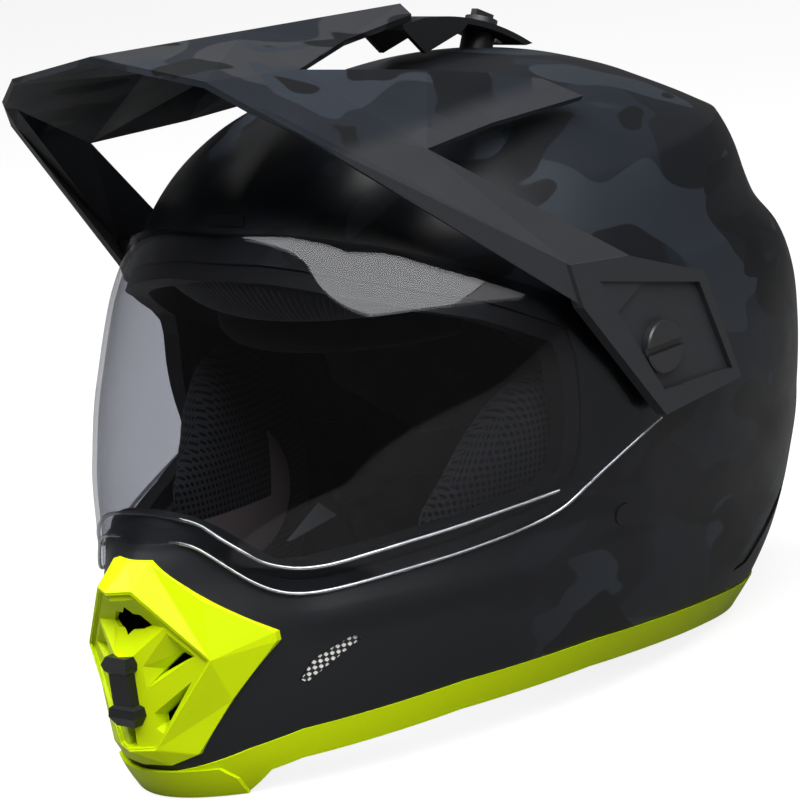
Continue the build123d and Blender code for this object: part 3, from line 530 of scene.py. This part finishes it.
shell_paint = camo_material(
    "shell_paint", (0.0062, 0.0068, 0.0088),
    (("Z", 0.40 * height, 0.50 * height), ("Y", -0.45 * half_length, 0.05 * half_length)),
)
# Painted light: the peak's plain colour is a lighter copy of the shell's plain paint, standing in for the
# light that falls on the peak's upper facets
peak_lit_paint = camo_material(
    "peak_lit_paint", (0.0230, 0.0240, 0.0275), (("Z", 0.955 * height, 0.985 * height),),
)
yellow = plain_material(
    "yellow_plastic", (0.48, 0.62, 0.0), 0.42, 1500, 0.05, 0.05 * mm, Specular_IOR_Level=0.12,
)
black = plain_material(
    "black_plastic", (0.008, 0.0085, 0.0095), 0.42, 1800, 0.12, 0.05 * mm, Specular_IOR_Level=0.25,
)
rubber = plain_material(
    "rubber_seal", (0.007, 0.0073, 0.0085), 0.5, 900, 0.15, 0.1 * mm, Specular_IOR_Level=0.3,
)
screw_black = plain_material("screw_black", (0.016, 0.0165, 0.018), 0.33, 1800, 0.06, 0.05 * mm)
foam = plain_material("liner_foam", (0.012, 0.012, 0.013), 0.85, 350, 0.6, 0.6 * mm)
steel = plain_material("steel", (0.55, 0.56, 0.58), 0.3, 1200, 0.08, 0.05 * mm, Metallic=1.0)


def lattice(tree, a_axis, b_axis, pitch_a, pitch_b):
    """Rows of small lens-shaped holes, as a height from 0 in a hole to 1 on a thread."""
    coordinates = tree.nodes.new("ShaderNodeTexCoord")
    split = tree.nodes.new("ShaderNodeSeparateXYZ")
    tree.links.new(coordinates.outputs["Object"], split.inputs["Vector"])
    waves = []
    for sign in (1, -1):
        first = tree.nodes.new("ShaderNodeMath")
        first.operation = "MULTIPLY"
        first.inputs[1].default_value = pi / pitch_a
        tree.links.new(split.outputs["XYZ".index(a_axis)], first.inputs[0])
        second = tree.nodes.new("ShaderNodeMath")
        second.operation = "MULTIPLY_ADD"
        second.inputs[1].default_value = sign * pi / pitch_b
        tree.links.new(split.outputs["XYZ".index(b_axis)], second.inputs[0])
        tree.links.new(first.outputs[0], second.inputs[2])
        wave = tree.nodes.new("ShaderNodeMath")
        wave.operation = "SINE"
        tree.links.new(second.outputs[0], wave.inputs[0])
        waves.append(wave)
    product = tree.nodes.new("ShaderNodeMath")
    product.operation = "MULTIPLY"
    tree.links.new(waves[0].outputs[0], product.inputs[0])
    tree.links.new(waves[1].outputs[0], product.inputs[1])
    ramp = add_ramp(tree, product.outputs[0], (0.02, grey(1)), (0.30, grey(0)))
    return ramp


def math_node(tree, operation, a, b=None):
    """Math node of two sockets or numbers; returns its output."""
    node = tree.nodes.new("ShaderNodeMath")
    node.operation = operation
    for socket, value in zip(node.inputs, (a, b)):
        if isinstance(value, (int, float)):
            socket.default_value = value
        elif value is not None:
            tree.links.new(value, socket)
    return node.outputs[0]


def air_mesh_material(name, cloth=None):
    """Spacer fabric with rows of small holes; cloth gives inner x, rear y and low z of a plain part."""
    material, tree, principled = shader(
        name, (0.012, 0.012, 0.013), 0.8, Sheen_Weight=0.05, Specular_IOR_Level=0.1,
    )
    geometry = tree.nodes.new("ShaderNodeNewGeometry")
    normal = tree.nodes.new("ShaderNodeSeparateXYZ")
    tree.links.new(geometry.outputs["Normal"], normal.inputs["Vector"])
    frontal = math_node(tree, "GREATER_THAN", math_node(tree, "ABSOLUTE", normal.outputs["Y"]), 0.72)
    side_holes = lattice(tree, "Y", "Z", 2.1 * mm, 2.9 * mm)
    front_holes = lattice(tree, "X", "Z", 2.1 * mm, 2.9 * mm)
    holes = add_mix(tree, frontal, side_holes.outputs["Color"], front_holes.outputs["Color"])
    colour = add_mix(tree, holes, (0.0010, 0.0010, 0.0013), (0.030, 0.0305, 0.034))
    if cloth:
        inner_x, rear_y, low_z = cloth
        coordinates = tree.nodes.new("ShaderNodeTexCoord")
        split = tree.nodes.new("ShaderNodeSeparateXYZ")
        tree.links.new(coordinates.outputs["Object"], split.inputs["Vector"])
        inside = math_node(tree, "LESS_THAN", math_node(tree, "ABSOLUTE", split.outputs["X"]), inner_x)
        slant = math_node(tree, "MULTIPLY", split.outputs["Z"], -0.2)
        slanted = math_node(tree, "ADD", split.outputs["Y"], slant)
        rear = math_node(tree, "GREATER_THAN", slanted, rear_y)
        low = math_node(tree, "LESS_THAN", split.outputs["Z"], low_z)
        plain = math_node(tree, "MULTIPLY", inside, math_node(tree, "MAXIMUM", rear, low))
        colour = add_mix(tree, plain, colour, (0.220, 0.178, 0.174))
        holes = add_mix(tree, plain, holes, (0.5, 0.5, 0.5))
    tree.links.new(colour, principled.inputs["Base Color"])
    add_bump(tree, principled, holes, 0.9, 0.7 * mm)
    return material


def cloth_material(name, dark, light, scale=1400):
    material, tree, principled = shader(name, dark, 0.95, Sheen_Weight=0.12, Specular_IOR_Level=0.1)
    noise, _ = add_noise(tree, scale, 4)
    broad, _ = add_noise(tree, 24, 3, 0.4)
    ramp = add_ramp(tree, broad.outputs["Fac"], (0.35, dark), (0.68, light))
    tree.links.new(ramp.outputs["Color"], principled.inputs["Base Color"])
    add_bump(tree, principled, noise.outputs["Fac"], 0.7, 0.4 * mm)
    return material


def ribbed_material(name, pitch):
    """Elastic mesh with upright ribs."""
    material, tree, principled = shader(name, (0.012, 0.012, 0.013), 0.8, Sheen_Weight=0.25)
    coordinates = tree.nodes.new("ShaderNodeTexCoord")
    split = tree.nodes.new("ShaderNodeSeparateXYZ")
    tree.links.new(coordinates.outputs["UV"], split.inputs["Vector"])
    phase = tree.nodes.new("ShaderNodeMath")
    phase.operation = "MULTIPLY"
    phase.inputs[1].default_value = 2 * pi / pitch
    tree.links.new(split.outputs["X"], phase.inputs[0])
    wave = tree.nodes.new("ShaderNodeMath")
    wave.operation = "SINE"
    tree.links.new(phase.outputs[0], wave.inputs[0])
    ramp = add_ramp(tree, wave.outputs[0], (0.0, grey(0)), (0.8, grey(1)))
    colour = add_mix(tree, ramp.outputs["Color"], (0.004, 0.004, 0.005), (0.022, 0.022, 0.024))
    tree.links.new(colour, principled.inputs["Base Color"])
    add_bump(tree, principled, ramp.outputs["Color"], 0.8, 0.8 * mm)
    return material


air_mesh = air_mesh_material("air_mesh", (66 * mm, -44 * mm, 80 * mm))
brown_cloth = cloth_material("brown_cloth", (0.120, 0.096, 0.094), (0.220, 0.178, 0.174))
black_cloth = cloth_material("black_cloth", (0.006, 0.006, 0.0065), (0.012, 0.012, 0.0125))
blank_tag = cloth_material("blank_tag", (0.30, 0.30, 0.31), (0.36, 0.36, 0.37))
webbing = cloth_material("webbing", (0.009, 0.009, 0.0095), (0.016, 0.016, 0.0165), 2500)
ribbed = ribbed_material("ribbed_band", 3.2 * mm)


def wire_mesh_material():
    """Bright wire cloth behind a dark coat, as a lattice of square holes."""
    material, tree, principled = shader("wire_mesh", (0.02, 0.02, 0.02), 0.4)
    holes = lattice(tree, "Y", "Z", 2.2 * mm, 2.2 * mm)
    colour = add_mix(tree, holes.outputs["Color"], (0.62, 0.62, 0.60), (0.006, 0.006, 0.0065))
    tree.links.new(colour, principled.inputs["Base Color"])
    add_bump(tree, principled, holes.outputs["Color"], 0.8, 0.3 * mm)
    return material


wire_mesh = wire_mesh_material()


def clear_material(name, tint, least_gloss, roughness):
    """Clear moulded sheet that light passes straight through, with its own gloss."""
    material = bpy.data.materials.new(name)
    material.use_nodes = True
    tree = material.node_tree
    tree.nodes.clear()
    through = tree.nodes.new("ShaderNodeBsdfTransparent")
    through.inputs["Color"].default_value = (*tint, 1)
    gloss = tree.nodes.new("ShaderNodeBsdfGlossy")
    gloss.inputs["Color"].default_value = (1, 1, 1, 1)
    gloss.inputs["Roughness"].default_value = roughness
    facing = tree.nodes.new("ShaderNodeLayerWeight")
    facing.inputs["Blend"].default_value = 0.5
    glance = tree.nodes.new("ShaderNodeMath")
    glance.operation = "POWER"
    glance.inputs[1].default_value = 5
    share = tree.nodes.new("ShaderNodeMath")
    share.operation = "MULTIPLY_ADD"
    share.inputs[1].default_value = 0.6
    share.inputs[2].default_value = least_gloss
    mix = tree.nodes.new("ShaderNodeMixShader")
    output = tree.nodes.new("ShaderNodeOutputMaterial")
    tree.links.new(facing.outputs["Facing"], glance.inputs[0])
    tree.links.new(glance.outputs[0], share.inputs[0])
    tree.links.new(share.outputs[0], mix.inputs["Fac"])
    tree.links.new(through.outputs[0], mix.inputs[1])
    tree.links.new(gloss.outputs[0], mix.inputs[2])
    tree.links.new(mix.outputs[0], output.inputs["Surface"])
    return material


clear_sheet = clear_material("clear_sheet", (0.72, 0.725, 0.75), 0.017, 0.02)
clear_edge = clear_material("clear_edge", (0.62, 0.63, 0.66), 0.30, 0.10)


def dress(obj, material, body=None, replaced=()):
    """Gives a piece its one material and its body, and hides the solids that it stands for."""
    obj.data.materials.clear()
    obj.data.materials.append(material)
    if body:
        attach(obj, body)
    if replaced:
        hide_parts(*replaced)
    return obj


# Outer shell
shell = double_skin("shell_skin", 0, -wall, offset=ridge_offset)
below = list(trim_top_shares) + [(trim_top_shares[-1][0], -0.4), (trim_top_shares[0][0], -0.4)]
left_rim = [(bezel_point_shares[name][0], bezel_point_shares[name][2]) for name in bezel_rim]
bezel_outline = left_rim + [(-x, z) for x, z in reversed(left_rim)]
cutters = [
    side_prism(below),
    side_prism(eyeport_shares),
    front_prism(bezel_outline, -half_length - overrun, -half_length / 2),
    front_prism(rear_port_shares, half_length / 4, half_length + overrun),
    front_prism(brow_vent_shares, -half_length, 0),
    rod_x(screw_radius, -half_width - overrun, half_width + overrun, pivot_y, pivot_z),
    boss_rod(boss_radius, mount_radius - 12 * mm, mount_radius + overrun),
]
for side in (1, -1):
    cutters.append(front_prism(side_vent_shares, -0.90 * half_length, -0.50 * half_length, side))
    ends = sorted((side * half_width / 4, side * (half_width + overrun)))
    cutters.append(side_prism(exhaust_shares, *ends))
    ends = sorted((side * half_width / 2, side * (half_width + overrun)))
    cutters.append(rod_x(plug_radius, *ends, 0.0055 * half_length, 0.301 * height))
cut(shell, cutters)
sharpen(shell, radians(30))
dress(shell, shell_paint, "helmet", ["outer_shell"])



def bezel_facets():
    """Clean outer facets of the chin vent's bezel, over its solid."""
    points = {
        name: Vector((x * half_width, y * half_length, z * height))
        for name, (x, y, z) in bezel_point_shares.items()
    }
    for name, (x, z) in web_corner_shares.items():
        front = -vent_nose_share * half_length + vent_lean_share * x * half_width
        points[name] = Vector((x * half_width, front, z * height))
    names = list(points)
    verts = [points[name] for name in names] + [points[name] * Vector((-1, 1, 1)) for name in names]
    faces = []
    for corners in bezel_faces:
        left = [names.index(name) for name in corners]
        faces.append(left)
        faces.append([index + len(names) for index in reversed(left)])
    obj = new_object("bezel_facets", verts, faces, smooth=False)
    bm = bmesh.new()
    bm.from_mesh(obj.data)
    bmesh.ops.remove_doubles(bm, verts=bm.verts, dist=0.05 * mm)
    loose = [vert for vert in bm.verts if not vert.link_faces]
    bmesh.ops.delete(bm, geom=loose, context="VERTS")
    bmesh.ops.recalc_face_normals(bm, faces=bm.faces)
    if bm.faces[0].normal.y > 0:
        bmesh.ops.reverse_faces(bm, faces=bm.faces)
    bm.to_mesh(obj.data)
    bm.free()
    thick = obj.modifiers.new("thick", "SOLIDIFY")
    thick.thickness = bezel_cover
    thick.offset = -1 + 2 * bezel_proud / bezel_cover
    bevel = obj.modifiers.new("edge", "BEVEL")
    bevel.width = 0.5 * mm
    bevel.segments = 2
    bevel.angle_limit = radians(12)
    apply_modifiers(obj)
    return dress(obj, yellow, "helmet")


bezel_facets()

# Face shield
shield = double_skin("shield_sheet", 3.65 * mm, 1.45 * mm, low_share=0.2, columns=320, rows=120)
cut(shield, [side_prism(shield_shares)], "INTERSECT")
cut(shield, [rod_x(hub_radius, -half_width - overrun, half_width + overrun, pivot_y, pivot_z)])
sharpen(shield, radians(35))
dress(shield, clear_sheet, "shield", ["face_shield"])


def mirrored_line(shares, grow):
    """Line on the shell's form through places of the side view, from right to left round the nose."""
    left = []
    for y, z in shares:
        place_y, place_z = y * half_length, z * height
        left.append((surface_x(place_y, place_z, grow), place_y, place_z))
    right = [(-x, y, z) for x, y, z in left]
    return right + left[::-1]


lip_line = mirrored_line(shield_lip_shares, 3.35 * mm)
low_line = mirrored_line(shield_low_shares, 3.15 * mm)
for name, line, radius in (
    ("shield_lip_bead", lip_line, 0.8 * mm), ("shield_edge_bead", low_line, 0.7 * mm),
):
    dress(tube(name, line, radius), clear_edge, "shield")

# Solids that keep their own shape
for name, material in {
    "lower_trim": yellow, "chin_vent_bezel": yellow, "eyeport_gasket": rubber, "peak": peak_lit_paint,
    "peak_centre_mount": black, "crown_boss": black, "centre_knob": screw_black,
    "chin_vent_slider": black, "chin_vent_shutter": black, "chin_vent_filter": black_cloth,
    "rear_vent_cover": black, "brow_vent": black, "chin_eps": foam, "eps_front_left": foam,
    "eps_front_right": foam, "eps_rear_left": foam, "eps_rear_right": foam,
    "shield_baseplate_left": black, "shield_baseplate_right": black, "side_screw_left": screw_black,
    "side_screw_right": screw_black, "screw_insert_left": steel, "screw_insert_right": steel,
    "side_vent_mesh_left": wire_mesh, "side_vent_mesh_right": wire_mesh, "side_plug_left": rubber,
    "side_plug_right": rubber, "exhaust_grille_left": black, "exhaust_grille_right": black,
    "cheek_base_left": foam, "cheek_base_right": foam, "strap_anchor_left": steel,
    "strap_anchor_right": steel, "buckle_ring": steel,
}.items():
    node = nodes[name]
    node.data.materials.clear()
    node.data.materials.append(material)
for name, width in {
    "lower_trim": 0.6, "chin_vent_bezel": 0.5, "peak": 0.5, "peak_centre_mount": 0.5, "centre_knob": 0.4,
    "chin_vent_slider": 0.5, "side_screw_left": 0.4, "side_screw_right": 0.4, "rear_vent_cover": 0.8,
    "eyeport_gasket": 0.8,
}.items():
    bevel = nodes[name].modifiers.new("edge", "BEVEL")
    bevel.width = width * mm
    bevel.segments = 2
    bevel.limit_method = "ANGLE"
    bevel.angle_limit = radians(28)
    bevel.harden_normals = False


def soft_copy(name, node, voxel, smooth_steps, material):
    """Rounded cushion in the space of a plain solid."""
    obj = bpy.data.objects.new(name, nodes[node].data.copy())
    bpy.context.scene.collection.objects.link(obj)
    remesh = obj.modifiers.new("remesh", "REMESH")
    remesh.mode = "VOXEL"
    remesh.voxel_size = voxel
    relax = obj.modifiers.new("relax", "SMOOTH")
    relax.iterations = smooth_steps
    relax.factor = 0.7
    refine = obj.modifiers.new("refine", "SUBSURF")
    refine.levels = 1
    refine.render_levels = 1
    apply_modifiers(obj)
    obj.data.polygons.foreach_set("use_smooth", [True] * len(obj.data.polygons))
    dress(obj, material, "helmet", [node])
    return obj


for side in ("left", "right"):
    soft_copy(f"cheek_cushion_{side}", f"cheek_pad_{side}", 4 * mm, 40, air_mesh)
soft_copy("neck_cushion", "neck_roll", 4 * mm, 12, brown_cloth)
soft_copy("crown_cushion", "comfort_liner", 3 * mm, 6, brown_cloth)


# Ribbed band across the brow, from the eyeport's seal back to the brow roll
band_turn = radians(84)
band_columns = 90
band_rows = 9
band_top_share = 0.772
band_top_grow = -7 * mm
roll_middle_y = -6 * mm
roll_half_width = 62 * mm
roll_half_length = 62 * mm
roll_middle_z = 166 * mm
roll_radius = 8.5 * mm
band_sag = 4 * mm


def roll_point(turn, grow=0.0):
    """Point on the brow roll's middle line, or outside it."""
    x = (roll_half_width + grow) * cos(turn)
    y = roll_middle_y + (roll_half_length + grow) * sin(turn)
    return np.array((x, y, roll_middle_z))


def brow_band():
    """Band with its length along the brow kept as its texture place, for the ribs."""
    verts, lengths = [], []
    turns = np.linspace(-pi / 2 - band_turn, -pi / 2 + band_turn, band_columns)
    top = shell_points(turns, np.full_like(turns, band_top_share), band_top_grow)
    length = np.r_[0, np.cumsum(np.linalg.norm(np.diff(top, axis=0), axis=1))]
    for row in range(band_rows):
        share = row / (band_rows - 1)
        for column, turn in enumerate(turns):
            low = roll_point(turn, roll_radius / 2) + np.array((0, 0, roll_radius * 0.8))
            point = top[column] * (1 - share) + low * share
            point[2] -= band_sag * sin(pi * share)
            verts.append(point)
            lengths.append((length[column], share))
    faces = []
    for row in range(band_rows - 1):
        for column in range(band_columns - 1):
            a = row * band_columns + column
            b = a + band_columns
            faces.append((a, a + 1, b + 1, b))
    obj = new_object("brow_band", verts, faces)
    layer = obj.data.uv_layers.new(name="length")
    for loop in obj.data.loops:
        layer.data[loop.index].uv = lengths[loop.vertex_index]
    thick = obj.modifiers.new("thick", "SOLIDIFY")
    thick.thickness = 1.5 * mm
    apply_modifiers(obj)
    return dress(obj, ribbed, "helmet")


def brow_roll():
    """Padded roll below the band."""
    turns = np.linspace(-pi / 2 - radians(42), -pi / 2 + radians(70), 15)
    obj = tube("brow_roll", [roll_point(turn) for turn in turns], roll_radius, resolution=8)
    depsgraph = bpy.context.evaluated_depsgraph_get()
    mesh = bpy.data.meshes.new_from_object(obj.evaluated_get(depsgraph))
    bpy.data.objects.remove(obj)
    roll = bpy.data.objects.new("brow_roll", mesh)
    bpy.context.scene.collection.objects.link(roll)
    mesh.polygons.foreach_set("use_smooth", [True] * len(mesh.polygons))
    dress(roll, black_cloth, "helmet")
    return roll


brow_band()
brow_roll()

# Blank sewn label on the far cheek's lining
tag_y_shares = (-0.164, -0.043, 0.010, -0.151)
tag_z_shares = (0.234, 0.276, 0.244, 0.232)
tag_x = -56 * mm
tag = new_object(
    "sewn_tag", [(tag_x, y * half_length, z * height) for y, z in zip(tag_y_shares, tag_z_shares)],
    [(0, 1, 2, 3)], smooth=False,
)
thick = tag.modifiers.new("thick", "SOLIDIFY")
thick.thickness = 0.4 * mm
apply_modifiers(tag)
dress(tag, blank_tag, "helmet")


def strap_copy(name, node):
    obj = bpy.data.objects.new(name, nodes[node].data.copy())
    bpy.context.scene.collection.objects.link(obj)
    sharpen(obj, radians(30))
    dress(obj, webbing, "helmet", [node])
    return obj


strap_copy("webbing_left", "chin_strap_left")
strap_copy("webbing_right", "chin_strap_right")


# Floor, light and camera
def light_path_sum(tree, base, seen, glossy):
    """Strength that is base for diffuse rays, plus seen for the camera or plus glossy in reflections."""
    path = tree.nodes.new("ShaderNodeLightPath")
    most = tree.nodes.new("ShaderNodeMath")
    most.operation = "MAXIMUM"
    tree.links.new(path.outputs["Is Camera Ray"], most.inputs[0])
    tree.links.new(path.outputs["Is Transmission Ray"], most.inputs[1])
    first = tree.nodes.new("ShaderNodeMath")
    first.operation = "MULTIPLY_ADD"
    first.inputs[1].default_value = seen
    first.inputs[2].default_value = base
    tree.links.new(most.outputs[0], first.inputs[0])
    second = tree.nodes.new("ShaderNodeMath")
    second.operation = "MULTIPLY_ADD"
    second.inputs[1].default_value = glossy
    tree.links.new(path.outputs["Is Glossy Ray"], second.inputs[0])
    tree.links.new(first.outputs[0], second.inputs[2])
    return second.outputs[0]


def glowing_material(name, colour, base, seen, glossy):
    """Diffuse surface with a glow of its own that depends on the kind of ray."""
    material = bpy.data.materials.new(name)
    material.use_nodes = True
    tree = material.node_tree
    tree.nodes.clear()
    diffuse = tree.nodes.new("ShaderNodeBsdfDiffuse")
    diffuse.inputs["Color"].default_value = (*colour, 1)
    glow = tree.nodes.new("ShaderNodeEmission")
    add = tree.nodes.new("ShaderNodeAddShader")
    output = tree.nodes.new("ShaderNodeOutputMaterial")
    tree.links.new(light_path_sum(tree, base, seen, glossy), glow.inputs["Strength"])
    tree.links.new(diffuse.outputs[0], add.inputs[0])
    tree.links.new(glow.outputs[0], add.inputs[1])
    tree.links.new(add.outputs[0], output.inputs["Surface"])
    return material


floor_reach = 6.0
floor_drop = 0.5 * mm
floor_corners = [
    (x * floor_reach, y * floor_reach, -floor_drop) for x, y in ((-1, -1), (1, -1), (1, 1), (-1, 1))
]
floor = new_object("floor", floor_corners, [(0, 1, 2, 3)], smooth=False)
floor.data.materials.append(glowing_material("pale_floor", (0.18, 0.18, 0.18), 0, 0.86, 0.08))

world = bpy.data.worlds.new("studio")
bpy.context.scene.world = world
world.use_nodes = True
background = world.node_tree.nodes["Background"]
background.inputs["Color"].default_value = (1, 1, 1, 1)
world.node_tree.links.new(
    light_path_sum(world.node_tree, 0.12, 0.88, 0), background.inputs["Strength"]
)


def softbox(name, rise, place_shares, strength):
    """Flat glowing cloth above the object's middle, its corners as shares of its rise."""
    verts = [(x * rise, y * rise, middle_z + rise) for x, y in place_shares]
    obj = new_object(name, verts, [tuple(reversed(range(len(verts))))], smooth=False)
    obj.data.materials.append(glowing_material(name, (0, 0, 0), strength, 0, 0))
    obj.visible_camera = False
    return obj


middle_z = 0.14
lamp_height = 1.4
overhead_shares = ((-0.80, -0.70), (0.68, -1.10), (1.70, -0.77), (1.40, -0.05), (-0.80, 0.10))
side_shares = ((1.72, -0.76), (4.20, 0.05), (3.60, 0.90), (1.42, -0.03))
softbox("overhead_box", lamp_height, overhead_shares, 8.0)
softbox("side_box", lamp_height, side_shares, 3.0)

camera_turn = radians(45.055)
camera_rise = radians(13.12)
camera_roll = radians(-7.858)
camera_distance = 1748.6 * mm
camera_aim = Vector((2.759 * mm, -8.648 * mm, 121.43 * mm))
back = Vector((
    sin(camera_turn) * cos(camera_rise), -cos(camera_turn) * cos(camera_rise), sin(camera_rise),
))
right = Vector((cos(camera_turn), sin(camera_turn), 0))
up = back.cross(right)
turned_right = right * cos(camera_roll) + up * sin(camera_roll)
turned_up = up * cos(camera_roll) - right * sin(camera_roll)
camera = bpy.data.objects.new("camera", bpy.data.cameras.new("camera"))
camera.data.lens = 187.96
camera.data.sensor_width = 36
camera.matrix_world = Matrix.Translation(camera_aim + back * camera_distance) @ Matrix(
    (turned_right, turned_up, back)
).transposed().to_4x4()
bpy.context.scene.collection.objects.link(camera)
bpy.context.scene.camera = camera
bpy.context.scene.view_settings.view_transform = "Standard"
